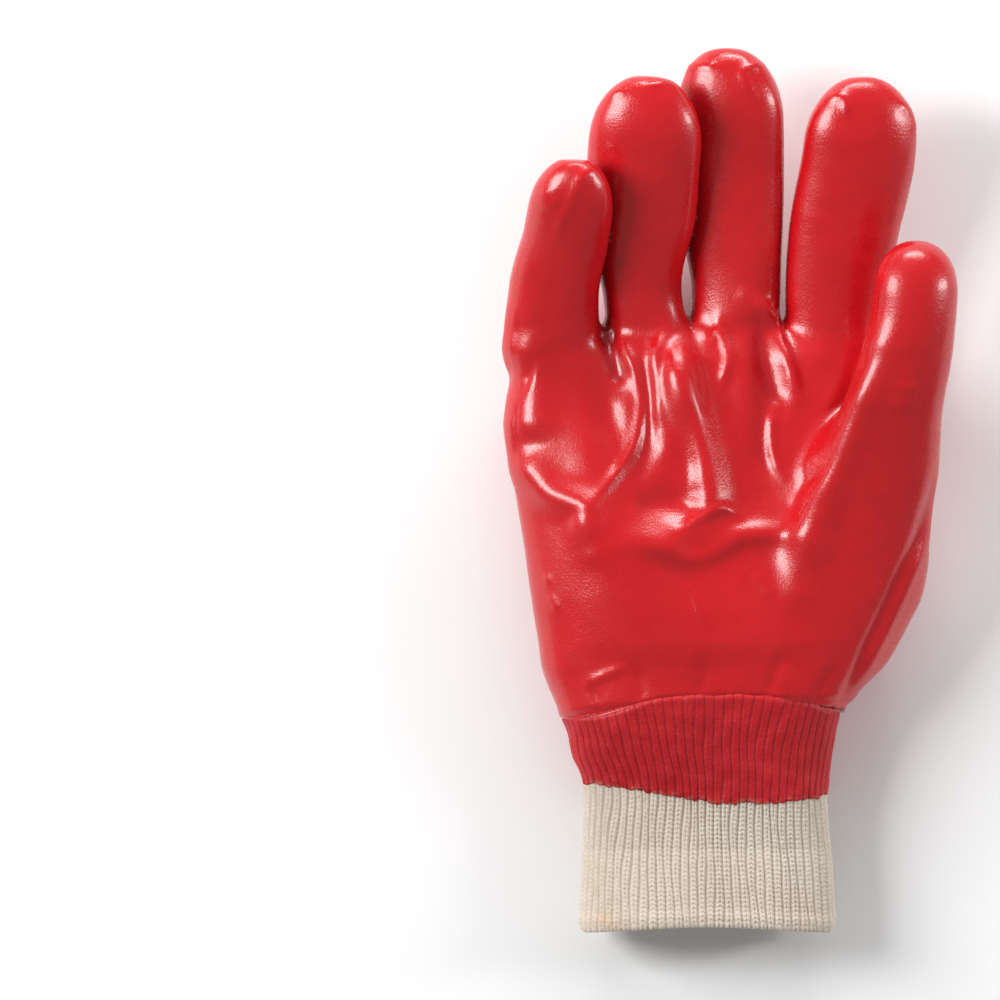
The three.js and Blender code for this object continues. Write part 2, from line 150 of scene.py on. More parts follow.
# Sections of the stalls: along, drift, lift, width, depth
LITTLE_ROWS = np.array([
    (-0.5, 0.16, -0.05, 0.92, 1.05), (-0.16, 0.08, 0.0, 1.0, 1.05), (0.0, 0.0, 0.04, 1.05, 1.02),
    (0.3, 0.0, 0.24, 1.0, 1.0), (0.6, 0.13, 0.54, 0.94, 0.97), (1.0, 0.28, 1.0, 0.9, 0.92),
])
RING_ROWS = np.array([
    (-0.35, -0.03, -0.05, 0.76, 0.95), (0.0, 0.03, 0.0, 0.72, 0.96), (0.18, -0.01, 0.1, 0.7, 0.96),
    (0.3, -0.03, 0.21, 0.79, 0.98), (0.46, -0.02, 0.4, 0.95, 1.0), (0.65, -0.01, 0.62, 1.0, 1.0),
    (1.0, 0.06, 1.0, 0.96, 0.95),
])
MIDDLE_ROWS = np.array([
    (-0.3, 0.0, -0.03, 0.8, 0.95), (0.0, 0.0, 0.0, 0.78, 0.98), (0.2, 0.01, 0.06, 0.79, 1.0),
    (0.36, -0.02, 0.18, 0.88, 1.0), (0.55, -0.03, 0.4, 0.92, 1.0), (0.8, -0.055, 0.73, 0.94, 0.97),
    (1.0, -0.11, 1.0, 0.96, 0.95),
])
INDEX_ROWS = np.array([
    (-0.3, 0.0, -0.03, 0.9, 0.95), (0.0, 0.0, 0.0, 0.88, 0.98), (0.25, 0.02, 0.14, 0.92, 1.0),
    (0.45, 0.08, 0.34, 0.97, 1.0), (0.7, 0.2, 0.64, 1.0, 0.98), (1.0, 0.27, 1.0, 0.97, 0.95),
])
THUMB_ROWS = np.array([
    (-0.6, -0.61, -0.36, 1.2, 1.1), (-0.5, -0.47, -0.32, 1.54, 1.2), (-0.28, -0.18, -0.2, 1.74, 1.34),
    (-0.13, -0.04, -0.06, 1.66, 1.3), (0.0, 0.07, 0.1, 1.48, 1.22), (0.2, 0.23, 0.36, 1.33, 1.12),
    (0.4, 0.385, 0.62, 1.08, 1.0), (0.62, 0.54, 0.85, 0.97, 0.96), (0.8, 0.615, 0.96, 0.93, 0.94),
    (1.0, 0.62, 1.0, 0.92, 0.92),
])

# Rows, length, width, depth, curl, roll, side, web, height, blend with the palm. All but the index
# finger are up to 1.7 mm narrower than in the solids and rolled up to 13 degrees less, which brings
# the highlights nearer to the real ones.
STALLS = [
    (LITTLE_ROWS, 54.0, 27.2, FINGER_DEPTH, 35.0, 11, -0.396, 0.993, 0.44, 6.0),
    (RING_ROWS, 78.0, 33.8, FINGER_DEPTH, 28.0, 7, -0.158, 1.006, 0.42, 6.0),
    (MIDDLE_ROWS, 87.5, 34.2, FINGER_DEPTH, 16.0, 13, 0.086, 1.0, 0.41, 6.0),
    (INDEX_ROWS, 78.5, 34.0, FINGER_DEPTH, 17.0, -4, 0.352, 1.002, 0.42, 6.0),
    (THUMB_ROWS, 84.0, 27.5, 23.0, 22.0, -5, 0.406, 0.504, 0.66, 8.0),
]

# Broad hollows and swellings of the palm: x, y, across, along, turn, height, all shares
RELIEF = [
    (0.04, 0.62, 0.2, 0.28, 0, -0.15), (-0.28, 0.45, 0.16, 0.3, 8, 0.08),
    (-0.25, 0.78, 0.04, 0.16, 12, -0.07), (-0.07, 0.84, 0.05, 0.2, -8, 0.07),
    (0.12, 0.88, 0.05, 0.14, 10, 0.05), (0.02, 0.47, 0.22, 0.05, 6, 0.05),
]

# Sections of the cuff: along, width, depth, drift
CUFF_ROWS = np.array([
    (0.0, WRIST_WIDTH / CUFF_WIDTH, WRIST_DEPTH / CUFF_DEPTH, 0.0), (0.12, 1.075, 1.08, 0.0),
    (0.2, 1.01, 1.02, 0.0), (0.3, 0.957, 0.96, 0.01), (0.4, 0.942, 0.93, 0.011),
    (0.54, 0.957, 0.93, 0.008), (0.72, 0.986, 0.96, 0.01), (1.0, 1.0, 1.0, 0.017),
])

# The arch that the hand's edge makes over the front of the band: x and y
SEAM_ARCH = [
    (-41, -3.0), (-33, -2.4), (-26, -0.6), (-20, 1.2), (-15, 3.0), (-8, 3.9), (11, 4.5),
    (19, 3.9), (26, 2.7), (34, 1.5), (42, -0.3),
]

# Folds of the palm side: name, half width, height, and the points that they follow
FOLDS = [
    ("s_ridge", 1.5, 1.0, [
        (-26.7, 113.4), (-23.4, 106.8), (-21, 102.6), (-19.5, 97.8), (-18.3, 92.7), (-18.6, 87),
        (-19.8, 80.4), (-22.2, 75.6), (-25.5, 70.8), (-28.8, 67.2), (-33.6, 60.6),
    ]),
    ("ring_web_ridge", 1.8, 1, [
        (-10.8, 114), (-12.9, 110.1), (-14.7, 105.6), (-14.4, 98.7), (-13.8, 90.6), (-13.5, 82.2),
    ]),
    ("palm_crest", 6.0, 3.5, [
        (-7.2, 112.8), (-9.6, 107.4), (-8.7, 101.4), (-6.3, 93.9), (-3.3, 87), (-1.5, 78.9),
        (0.6, 70.8), (1.8, 62.7), (-0.3, 57.6), (-7.8, 52.8),
    ]),
    ("middle_web_glint", 1.5, 0.8, [(4.5, 116.4), (6, 111), (8.1, 105.6), (6.6, 100.8), (5.1, 96)]),
    ("middle_web_branch", 1.2, 0.5, [(4.5, 114.3), (3, 111), (1.5, 107.7)]),
    ("index_web_ridge", 1.9, 1.4, [
        (12.9, 123.6), (15.9, 121.5), (19.2, 119.1), (21.6, 115.8), (23.4, 109.5), (25.2, 104.1),
        (27, 98.1), (28.2, 92.4),
    ]),
    ("index_thin_ridge", 1.3, 0.7, [
        (21.9, 90.3), (20.4, 86.4), (20.1, 80.1), (21, 74.7), (22.5, 71.4), (24, 69),
    ]),
    ("left_v_ridge", 4.4, 2.2, [
        (-55.8, 77.4), (-54, 72.6), (-50.1, 69.3), (-45.9, 64.5), (-39.6, 62.4), (-35.1, 60.6),
        (-34.8, 53.7), (-33, 47.4),
    ]),
    ("transverse_fold", 2.8, 1.1, [
        (-21.3, 50.1), (-12.6, 48.3), (-4.8, 44.1), (3.3, 46.2), (10.8, 52.2), (19.2, 52.5),
        (27.6, 51.9),
    ]),
    ("transverse_rim", 1.5, 0.8, [(-7.2, 52.8), (0.6, 57), (6, 59.7), (10.8, 57.6)]),
    ("transverse_dip", 4.5, -1.1, [(-21.9, 60), (-14.4, 62.4), (-6.9, 60.9), (-1.8, 56.4)]),
    ("thumb_recess", 2.6, -1.5, [
        (46.8, 104.1), (42.9, 92.4), (38.7, 81.6), (36, 72), (29.7, 65.4), (27, 60.6),
    ]),
    ("thumb_crest", 5.2, 2.7, [
        (51.3, 107.4), (48.3, 98.4), (43.8, 86.4), (40.5, 78.3),
        (36, 66.3), (32.4, 54.3), (30, 44.4), (28.2, 36),
    ]),
    ("thumb_patch", 3, 0.7, [(60, 98.4), (59.7, 93.3), (58.2, 87.9)]),
    ("thenar_edge", 1.7, -0.8, [
        (71.4, 77.7), (68.7, 64.5), (66, 55.8), (62.4, 47.4), (60.3, 44.4), (55.8, 34.5),
        (51.9, 25.5), (47.4, 16.2), (45, 7.2), (42.9, -1.5),
    ]),
    ("thenar_rim", 1.6, 0.6, [
        (72.9, 80.4), (71.1, 64.5), (68.4, 55.2), (64.5, 45.6), (60.6, 36.9), (56.1, 26.4),
        (50.7, 15.9), (47.7, 7.2),
    ]),
    ("little_tip_ridge", 1.4, 0.5, [
        (-30, 161.4), (-34.8, 160.2), (-36.6, 158.1), (-39, 153), (-40.5, 149.1), (-42.9, 144.9),
        (-43.8, 141),
    ]),
    ("little_tip_patch", 3, 0.5, [(-47.4, 155.4), (-45.9, 152.4), (-45, 149.1)]),
    ("ring_tip_left", 1.2, 0.45, [(-28.5, 182.4), (-26.1, 183.9), (-23.4, 184.2)]),
    ("ring_tip_right", 1.2, 0.45, [
        (-17.4, 185.1), (-13.5, 186.6), (-9.9, 186.9), (-8.1, 185.4), (-7.5, 183.6),
    ]),
    ("middle_tip_left", 1.2, 0.45, [(-6, 190.8), (-3.3, 192), (0.3, 192.3), (4.2, 191.4)]),
    ("middle_tip_v", 1.2, 0.5, [
        (18, 192.6), (14.1, 192), (11.4, 190.2), (12.3, 187.5), (14.7, 183),
    ]),
    ("index_tip_left", 1.2, 0.5, [(37.8, 182.7), (41.1, 183), (42.6, 181.2), (42.9, 177.6)]),
    ("index_tip_right", 1.3, 0.5, [(57.6, 182.1), (61.2, 179.4), (63.3, 176.1), (63.9, 171.9)]),
    ("little_ring_recess", 2.6, -1.7, [(-29.1, 115.8), (-27.6, 108.9), (-26.1, 102), (-25.5, 96)]),
    ("edge_notch", 4.5, -1.3, [(-59.4, 100.2), (-54.9, 99.9), (-49.5, 98.7)]),
    ("edge_bulge_top", 5, 0.7, [(-59.1, 111), (-54.9, 111)]),
    ("edge_bulge_low", 6, 0.8, [(-59.1, 84.3), (-54.3, 84)]),
    ("heel_streak", 1.2, 0.45, [(-36, 7.2), (-29.7, 10.2), (-23.4, 12.6)]),
    ("heel_mark", 1, 0.3, [(-47.4, 39.9), (-46.2, 37.5)]),
    ("heel_mark_low", 1.2, 0.3, [(-46.2, 33.9), (-43.5, 29.7)]),
    ("centre_streak", 1.1, 0.4, [(-3.6, 35.7), (-1.5, 30.3), (0.6, 25.2)]),
    ("centre_glint", 2, 0.4, [(15.3, 40.8), (17.7, 37.2), (20.1, 32.7)]),
    ("low_glint", 1.2, 0.25, [(-3.9, 17.7), (-3.9, 12.3)]),
    ("wrist_corner", 2.4, 0.5, [(-44.1, -0.3), (-41.4, -3.3)]),
    ("palm_valley_left", 3, -1, [
        (-15.9, 106.8), (-16.5, 98.4), (-15.9, 89.4), (-16.5, 80.4), (-18.9, 71.4), (-22.5, 63.9),
    ]),
    ("palm_valley_mid", 2.4, -0.8, [
        (-11.7, 108.9), (-11.7, 98.4), (-9.3, 86.4), (-5.7, 75.9), (-3.9, 65.4),
    ]),
    ("palm_valley_right", 3.4, -0.9, [
        (12.6, 113.4), (16.2, 104.4), (18.3, 92.4), (17.1, 77.4), (19.5, 65.4),
    ]),
    ("index_web_valley", 2.2, -1, [(16.2, 114.9), (18.3, 107.4), (20.7, 98.4), (23.1, 89.4)]),
    ("wrist_gather_a", 1.6, -0.45, [(-30.9, -2.4), (-32.1, 2.4), (-34.5, 7.8)]),
    ("wrist_gather_b", 1.8, -0.5, [(-18.9, 1.8), (-18.9, 6.6), (-20.1, 12)]),
    ("wrist_gather_c", 1.6, -0.4, [(-0.9, 4.2), (0.3, 9), (0.3, 13.8)]),
    ("wrist_gather_d", 1.8, -0.5, [(18.9, 3.9), (20.7, 9.6), (23.4, 15.9)]),
    ("wrist_gather_e", 1.6, -0.45, [(33.9, 1.5), (36.3, 7.2), (39.9, 13.2)]),
    ("left_edge_roll", 6, 2.4, [
        (-54.3, 114.9), (-52.8, 105.9), (-51.9, 95.4), (-51.3, 84.9), (-50.7, 78),
    ]),
]


def column(rows, key, along):
    """A table's column at places between its rows, on a smooth curve through them."""
    xs, ys = rows[:, 0], rows[:, key]
    last = len(rows) - 1
    i = np.clip(np.searchsorted(xs, along) - 1, 0, last - 1)
    span = xs[i + 1] - xs[i]
    t = np.clip((along - xs[i]) / span, 0, 1)
    before = np.maximum(i - 1, 0)
    after = np.minimum(i + 2, last)
    slope_a = (ys[i + 1] - ys[before]) / (xs[i + 1] - xs[before]) * span
    slope_b = (ys[after] - ys[i]) / (xs[after] - xs[i]) * span
    t2, t3 = t * t, t * t * t
    return (
        (2 * t3 - 3 * t2 + 1) * ys[i]
        + (t3 - 2 * t2 + t) * slope_a
        + (3 * t2 - 2 * t3) * ys[i + 1]
        + (t3 - t2) * slope_b
    )


def smoothstep(x, low, high):
    t = np.clip((x - low) / (high - low), 0, 1)
    return t * t * (3 - 2 * t)


def smooth_min(a, b, reach):
    h = np.maximum(reach - np.abs(a - b), 0) / reach
    return np.minimum(a, b) - h * h * reach / 4


def powered(v, power):
    """A power that keeps the sign."""
    return np.sign(v) * np.abs(v) ** power


def unit(v):
    return v / np.maximum(np.linalg.norm(v, axis=-1, keepdims=True), 1e-9)


def waves(p, sizes, seed, count=14):
    """A smooth random height, mostly between -1 and 1: sines in seeded directions."""
    rng = np.random.default_rng(seed)
    total = np.zeros(p.shape[:-1])
    for _ in range(count):
        way = rng.normal(size=3)
        way /= np.linalg.norm(way)
        size = rng.uniform(*sizes)
        total += np.sin(p @ (way * 2 * math.pi / size) + rng.uniform(0, 2 * math.pi))
    return total / math.sqrt(count)


def relief(x, y):
    total = np.zeros(np.broadcast(x, y).shape)
    for rx, ry, across, along, turn, height in RELIEF:
        c, s = math.cos(math.radians(turn)), math.sin(math.radians(turn))
        dx = x - rx * PALM_WIDTH
        dy = y - ry * PALM_LENGTH
        u = (dx * c + dy * s) / (across * PALM_WIDTH)
        v = (dy * c - dx * s) / (along * PALM_LENGTH)
        total += height * PALM_DEPTH * np.exp(-u * u - v * v)
    return total


def palm_sections(along):
    left = column(PALM_ROWS, 1, along) * PALM_WIDTH
    right = column(PALM_ROWS, 2, along) * PALM_WIDTH
    low = column(PALM_ROWS, 3, along) * PALM_DEPTH
    high = column(PALM_ROWS, 4, along) * PALM_DEPTH
    return (left + right) / 2, (right - left) / 2, (low + high) / 2, (high - low) / 2


def palm_field(x, y, z):
    """Distance from the palm, and how far each place is past the seam's edge."""
    along = y / PALM_LENGTH
    for _ in range(2):
        cx, a, cz, b = palm_sections(np.clip(along, 0, PALM_ROWS[-1, 0]))
        u, v = (x - cx) / a, (z - cz) / b
        m = np.maximum((np.abs(u) ** ROUNDNESS + np.abs(v) ** ROUNDNESS) ** (1 / ROUNDNESS), 0.05)
        half = ROUNDNESS / 2
        step = SEAM_RISE * np.sign(v) * (np.abs(v) / m) ** half
        step += SEAM_TILT * np.sign(u) * (np.abs(u) / m) ** half
        faded = (y - step) / (PALM_LENGTH - step / SEAM_FADE)
        along = np.where(faded > SEAM_FADE, y / PALM_LENGTH, faded)
        along = np.where(along < 0, (y - step) / PALM_LENGTH, along)
    cx, a, cz, b = palm_sections(np.clip(along, 0, PALM_ROWS[-1, 0]))
    u, v = (x - cx) / a, (z - cz) / b
    fade = np.clip(1 - along / SEAM_FADE, 0, 1)
    v = (z - relief(x, y) * np.clip(v, 0, 1) * (1 - fade) - cz) / b
    tip = np.maximum(0, (y - PALM_CAP_START) / PALM_CAP)
    return rounded(u, v, tip, a, b, PALM_CAP, ROUNDNESS), along


def rounded(u, v, h, a, b, c, power):
    """Distance from a rounded section with an end cap, from its shares of the half sizes."""
    au, av = np.abs(u), np.abs(v)
    m = np.maximum((au**power + av**power) ** (1 / power), 1e-3)
    n = np.maximum((m**CAP_POWER + h**CAP_POWER) ** (1 / CAP_POWER), 1e-3)
    du = (au / m) ** (power - 1) / a
    dv = (av / m) ** (power - 1) / b
    slope = (m / n) ** (2 * CAP_POWER - 2) * (du * du + dv * dv)
    slope += ((h / n) ** (CAP_POWER - 1) / c) ** 2
    return (n - 1) / np.sqrt(slope)


class Stall:
    """A finger or the thumb: a rounded tube round a bent middle line."""

    def __init__(self, rows, length, width, depth, curl, roll, side, web, height, blend):
        self.blend = blend
        self.length = length
        self.start = rows[0, 0] - 0.12
        t = np.linspace(self.start, STALL_END, STALL_STEPS)
        self.root = web * PALM_LENGTH

        def middle(s):
            return np.stack([
                side * PALM_WIDTH + column(rows, 1, s) * width,
                self.root + s * length,
                height * PALM_DEPTH + column(rows, 2, s) * curl,
            ], -1)

        centre = middle(t)
        lean = smoothstep(t, -0.4, 0.15)[:, None]
        course = unit(middle(t + 0.01) - middle(t - 0.01))
        ahead = unit((1 - lean) * np.array([0.0, 1.0, 0.0]) + lean * course)
        turn = math.radians(roll)
        across = np.array([math.cos(turn), 0.0, math.sin(turn)])
        across = unit(across - ahead * (ahead @ across)[:, None])
        up = np.cross(across, ahead)
        speed = np.linalg.norm(np.gradient(centre, t, axis=0), axis=1)
        a = column(rows, 3, t) * width / 2
        b = column(rows, 4, t) * depth / 2
        self.cap = 0.65 * rows[-1, 3] * width
        self.cap_start = 1 - self.cap / length
        self.rows_start = rows[0, 0]
        self.table = np.concatenate(
            [centre, ahead, across, up, speed[:, None], a[:, None], b[:, None]], 1
        )
        self.line = centre
        self.wide = max(a.max(), b.max())

    def near(self, xs, ys, zs):
        """Which grid places are near enough to matter."""
        reach = self.wide + 9
        t = np.clip((ys - self.root) / self.length, self.start, 1.0)
        at = (t - self.start) / (STALL_END - self.start) * (STALL_STEPS - 1)
        line = self.line[np.round(at).astype(int)]
        rows = (ys > self.line[0, 1] - 8) & (ys < self.root + self.length + 8)
        close = np.abs(xs[:, None, None] - line[None, :, None, 0]) < reach
        close = close & (np.abs(zs[None, None, :] - line[None, :, None, 2]) < reach)
        return close & rows[None, :, None]

    def field(self, p):
        """Distance from the stall at a list of places."""
        t = np.clip((p[:, 1] - self.root) / self.length, self.start, STALL_END)
        for _ in range(5):
            row = self.lookup(t)
            off = np.einsum("ij,ij->i", p - row[:, 0:3], row[:, 3:6])
            t = np.clip(t + 0.9 * off / row[:, 12], self.start, STALL_END)
        row = self.lookup(t)
        d = p - row[:, 0:3]
        a, b = row[:, 13], row[:, 14]
        u = np.einsum("ij,ij->i", d, row[:, 6:9]) / a
        v = np.einsum("ij,ij->i", d, row[:, 9:12]) / b
        tip = np.maximum(0, (t - self.cap_start) * self.length / self.cap)
        root = np.maximum(0, (self.rows_start - t) * self.length / ROOT_CAP)
        return rounded(u, v, np.maximum(tip, root), a, b, self.cap, STALL_ROUNDNESS)

    def lookup(self, t):
        """The table's rows at shares of the stall's length."""
        at = (t - self.start) / (STALL_END - self.start) * (STALL_STEPS - 1)
        i = np.clip(at.astype(int), 0, STALL_STEPS - 2)
        w = (at - i)[:, None]
        return self.table[i] * (1 - w) + self.table[i + 1] * w


stalls = [Stall(*s) for s in STALLS]


def lie_flat(f, z):
    """Keeps a shape above the surface that it lies on, with a soft edge."""
    return -smooth_min(-f, z, FLAT_EDGE)


def sleeve(f, along):
    """The hand's edge turns in under the seam and ends there."""
    down = -along * PALM_LENGTH
    f = f + SLEEVE_TUCK * smoothstep(down, -0.4, 1.5)
    return np.maximum(f, down - SLEEVE)


def hand_field(p):
    """Distance from the glove's hand at a list of places."""
    palm, along = palm_field(p[:, 0], p[:, 1], p[:, 2])
    palm = sleeve(palm, along)
    best = palm
    for stall in stalls:
        best = np.minimum(best, smooth_min(palm, stall.field(p), stall.blend))
    return lie_flat(best, p[:, 2])


def hand_grid(xs, ys, zs):
    """The same distance on a grid."""
    x, y, z = xs[:, None, None], ys[None, :, None], zs[None, None, :]
    shape = (len(xs), len(ys), len(zs))
    palm, along = palm_field(*(np.broadcast_to(v, shape) for v in (x, y, z)))
    palm = sleeve(palm, along)
    best = palm.copy()
    for stall in stalls:
        at = np.nonzero(stall.near(xs, ys, zs))
        p = np.stack([xs[at[0]], ys[at[1]], zs[at[2]]], -1)
        joined = smooth_min(palm[at], stall.field(p), stall.blend)
        best[at] = np.minimum(best[at], joined)
    return lie_flat(best, np.broadcast_to(z, shape))


def surface_net(field, xs, ys, zs):
    """Points and four-sided faces of the surface where a grid of distances is zero."""
    inside = field < 0
    shape = np.array(field.shape)
    cells = shape - 1
    low = np.array([xs[0], ys[0], zs[0]])
    step = xs[1] - xs[0]
    total = np.zeros((cells.prod(), 3))
    count = np.zeros(cells.prod())
    quads = []
    for axis in range(3):
        b, c = (axis + 1) % 3, (axis + 2) % 3
        start = [slice(None)] * 3
        end = [slice(None)] * 3
        start[axis], end[axis] = slice(None, -1), slice(1, None)
        crossed = inside[tuple(start)] != inside[tuple(end)]
        at = np.stack(np.nonzero(crossed), -1)
        f0 = field[tuple(start)][crossed]
        f1 = field[tuple(end)][crossed]
        point = at.astype(float)
        point[:, axis] += f0 / (f0 - f1)
        ok = (at[:, b] > 0) & (at[:, c] > 0) & (at[:, b] < cells[b]) & (at[:, c] < cells[c])
        at, point, first = at[ok], point[ok], inside[tuple(start)][crossed][ok]
        around = []
        for db, dc in ((-1, -1), (0, -1), (0, 0), (-1, 0)):
            cell = at.copy()
            cell[:, b] += db
            cell[:, c] += dc
            index = np.ravel_multi_index(tuple(cell.T), tuple(cells))
            np.add.at(total, index, point)
            np.add.at(count, index, 1)
            around.append(index)
        ring = np.stack(around, -1)
        ring[~first] = ring[~first][:, ::-1]
        quads.append(ring)
    quads = np.concatenate(quads)
    used, faces = np.unique(quads, return_inverse=True)
    points = low + step * total[used] / count[used, None]
    return points, faces.reshape(-1, 4)


def slope(field, p, step=0.25):
    grad = np.empty_like(p)
    for axis in range(3):
        side = np.zeros(3)
        side[axis] = step
        grad[:, axis] = (field(p + side) - field(p - side)) / (2 * step)
    return grad


def settle(field, p, rounds, reach):
    """Moves points onto the surface along the field's slope."""
    for _ in range(rounds):
        f = field(p)
        g = slope(field, p)
        move = f[:, None] * g / np.maximum((g * g).sum(1), 0.3)[:, None]
        size = np.linalg.norm(move, axis=1)
        move *= np.minimum(1, reach / np.maximum(size, 1e-9))[:, None]
        p = p - move
    return p


def rounded_line(line):
    """A line with its corners cut twice, so that a fold runs without kinks."""
    for _ in range(2):
        a, b = line[:-1], line[1:]
        cut = np.stack([0.75 * a + 0.25 * b, 0.25 * a + 0.75 * b], 1).reshape(-1, 2)
        line = np.concatenate([line[:1], cut[1:-1], line[-1:]])
    return line


def fold_height(p, normal):
    """How far the folds raise or lower the surface."""
    facing = smoothstep(normal[:, 2], -0.15, 0.35)
    total = np.zeros(len(p))
    for _, width, height, line in FOLDS:
        line = rounded_line(np.array(line, float))
        low = line.min(0) - 3.5 * width
        high = line.max(0) + 3.5 * width
        near = ((p[:, :2] > low) & (p[:, :2] < high)).all(1)
        q = p[near, :2]
        if not len(q):
            continue
        away = np.full(len(q), 1e9)
        way = np.zeros(len(q))
        lengths = np.linalg.norm(np.diff(line, axis=0), axis=1)
        starts = np.concatenate([[0], np.cumsum(lengths)])
        for k in range(len(line) - 1):
            d = line[k + 1] - line[k]
            t = np.clip((q - line[k]) @ d / (d @ d), 0, 1)
            gap = np.linalg.norm(q - line[k] - t[:, None] * d, axis=1)
            closer = gap < away
            away = np.where(closer, gap, away)
            way = np.where(closer, (starts[k] + t * lengths[k]) / starts[-1], way)
        ends = 0.35 + 0.65 * smoothstep(way, 0, 0.22) * smoothstep(1 - way, 0, 0.22)
        total[near] += FOLD_GAIN * height * ends * np.exp(-((away / (FOLD_WIDEN * width)) ** 2))
    return total * facing


def seam_line(x, front):
    """Where the hand's coating ends above the band: an arch in front, level at the back."""
    arch = np.interp(x, [s[0] for s in SEAM_ARCH], [s[1] for s in SEAM_ARCH])
    return front * arch + (1 - front) * SEAM_BACK


def surface_height(p, normal):
    """Everything that is finer than the main form: folds, dents and an uneven skin."""
    total = fold_height(p, normal)
    back = smoothstep(-normal[:, 2], 0.2, 0.8) * smoothstep(p[:, 2], 1.5, 7)
    total += DENT_HEIGHT * waves(p, DENT_SIZES, 5) * (1 - 0.5 * back)
    total += SKIN_HEIGHT * waves(p, SKIN_SIZES, 6)
    total = total * smoothstep(p[:, 1], -3.0, 4.0)
    edge = seam_line(p[:, 0], smoothstep(normal[:, 2], -0.3, 0.3))
    step = smoothstep(edge - p[:, 1], -0.3, 1.3) + smoothstep(edge - p[:, 1], 1.5, 4.0)
    return total - SEAM_STEP * step


def grid_axes(step):
    return tuple(np.arange(low, high + step, step) for low, high in SPACE)


def cut_open(points, faces, short):
    """Takes off the flat end that closes the hand at the wrist, and a little of its sleeve."""
    _, along = palm_field(points[:, 0], points[:, 1], points[:, 2])
    end = -along * PALM_LENGTH > SLEEVE - short
    faces = faces[~end[faces].all(1)]
    used, flat = np.unique(faces, return_inverse=True)
    return points[used], flat.reshape(faces.shape)


def rim_of(faces):
    """The open edge as one ring of corners, in the faces' own direction."""
    edges = np.concatenate([faces[:, [k, (k + 1) % 4]] for k in range(4)])
    seen = {(a, b) for a, b in edges.tolist()}
    after = {a: b for a, b in seen if (b, a) not in seen}
    rings = []
    while after:
        first = next(iter(after))
        ring = [first]
        k = after.pop(first)
        while k != first and k in after:
            ring.append(k)
            k = after.pop(k)
        rings.append(ring)
    return max(rings, key=len)


def join_rims(points, outer, inner):
    """Triangles between two rims that run the same way round the wrist."""
    def order(ring):
        angle = np.arctan2(points[ring][:, 2] - WRIST_HEIGHT, points[ring][:, 0])
        return np.unwrap(angle)

    if order(outer)[-1] < order(outer)[0]:
        outer = outer[::-1]
    if order(inner)[-1] < order(inner)[0]:
        inner = inner[::-1]
    turn = 2 * math.pi
    a = order(outer)
    gap = np.abs((order(inner) - a[0] + math.pi) % turn - math.pi)
    start = int(np.argmin(gap))
    inner = inner[start:] + inner[:start]
    b = order(inner)
    b += turn * round((a[0] - b[0]) / turn)
    n, m = len(outer), len(inner)
    a = np.append(a, a[0] + turn)
    b = np.append(b, b[0] + turn)
    faces = []
    i = j = 0
    while i < n or j < m:
        if j >= m or (i < n and a[i + 1] <= b[j + 1]):
            faces.append((outer[i % n], outer[(i + 1) % n], inner[j % m]))
            i += 1
        else:
            faces.append((outer[i % n], inner[(j + 1) % m], inner[j % m]))
            j += 1
    return faces


def new_object(name, points, faces, materials, numbers, which=None):
    """A smooth mesh object from points in millimetres and faces of three or four corners."""
    mesh = bpy.data.meshes.new(name)
    place = (np.asarray(points) + np.array(ORIGIN)) * MM
    mesh.vertices.add(len(place))
    mesh.vertices.foreach_set("co", place.astype(np.float32).ravel())
    sizes = np.concatenate([np.full(len(f), np.asarray(f).shape[1]) for f in faces])
    corners = np.concatenate([np.asarray(f).ravel() for f in faces])
    mesh.loops.add(len(corners))
    mesh.loops.foreach_set("vertex_index", corners.astype(np.int32))
    mesh.polygons.add(len(sizes))
    starts = np.concatenate([[0], np.cumsum(sizes)[:-1]])
    mesh.polygons.foreach_set("loop_start", starts.astype(np.int32))
    mesh.polygons.foreach_set("use_smooth", np.ones(len(sizes), bool))
    for material in materials:
        mesh.materials.append(material)
    if which is not None:
        mesh.polygons.foreach_set("material_index", np.asarray(which, np.int32))
    for key, values in numbers.items():
        layer = mesh.attributes.new(key, "FLOAT", "POINT")
        layer.data.foreach_set("value", np.asarray(values, np.float32))
    mesh.update()
    mesh.validate()
    piece = bpy.data.objects.new(name, mesh)
    bpy.context.collection.objects.link(piece)
    return piece


def material(name):
    made = bpy.data.materials.new(name)
    made.use_nodes = True
    made.node_tree.nodes.clear()
    return made


